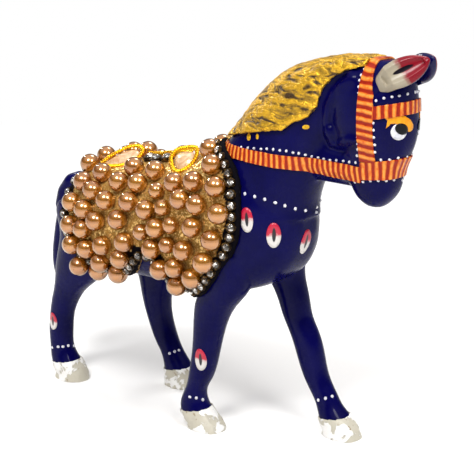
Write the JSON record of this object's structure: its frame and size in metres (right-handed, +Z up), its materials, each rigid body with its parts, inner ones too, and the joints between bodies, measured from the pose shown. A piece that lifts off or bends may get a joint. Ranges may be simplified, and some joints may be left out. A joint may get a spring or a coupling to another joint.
{
  "type": "carved wooden horse ornament",
  "caption": "Carved wooden walking horse in dark blue lacquer, with raised painted harness, gilded mane and a saddle cloth covered with pearl beads.",
  "frame": {"origin": "centre of the bounding box in plan, on the ground under the soles", "axes": "+X towards the head, +Y to the horse's left, +Z up"},
  "size_m": [0.1464, 0.0474, 0.1194],
  "materials": {
    "blue_lacquer": "glossy dark blue lacquer over carved wood",
    "bare_wood": "bare wood",
    "white_coat": "thick white paint, chipped",
    "band_paint": "raised orange paint with dark red stripes",
    "gold_paste": "rough modelling paste, gilded",
    "gold_cloth": "glittering gold cloth",
    "copper_pearl": "rose gold pearl lustre",
    "pale_stone": "pale pearl lustre",
    "clear_stone": "clear cut glass",
    "dark_cup": "dark tarnished",
    "gold_wire": "bright gold plated"
  },
  "bodies": {
    "root": {"trunk": "blue_lacquer", "neck_and_head": "blue_lacquer", "front_right_leg": "blue_lacquer", "front_left_leg": "blue_lacquer", "hind_right_leg": "blue_lacquer", "hind_left_leg": "blue_lacquer", "tail": "blue_lacquer", "right_ear": "blue_lacquer", "left_ear": "blue_lacquer", "neck_dowel": "bare_wood", "leg_dowels": "bare_wood", "tail_peg": "bare_wood", "ear_pegs": "bare_wood", "front_right_hoof_coat": "white_coat", "front_left_hoof_coat": "white_coat", "hind_right_hoof_coat": "white_coat", "hind_left_hoof_coat": "white_coat", "rein_band": "band_paint", "noseband": "band_paint", "cheek_and_crown_strap": "band_paint", "brow_band": "band_paint", "mane": "gold_paste", "saddle_cloth": "gold_cloth", "rear_pearls_right": "copper_pearl", "rear_pearls_left": "copper_pearl", "front_pearls_right": "copper_pearl", "front_pearls_left": "copper_pearl", "spine_pearls_left": "copper_pearl", "edge_stones_right": "clear_stone", "edge_stones_left": "clear_stone", "spine_stones": "clear_stone", "edge_cups_right": "dark_cup", "edge_cups_left": "dark_cup", "spine_cups": "dark_cup", "rear_brooch_rim": "gold_wire", "front_brooch_rim": "gold_wire", "spine_cord": "gold_wire", "gold_sprigs": "gold_wire", "rear_cabochon": "pale_stone", "front_cabochon": "pale_stone"}
  },
  "joints": []
}
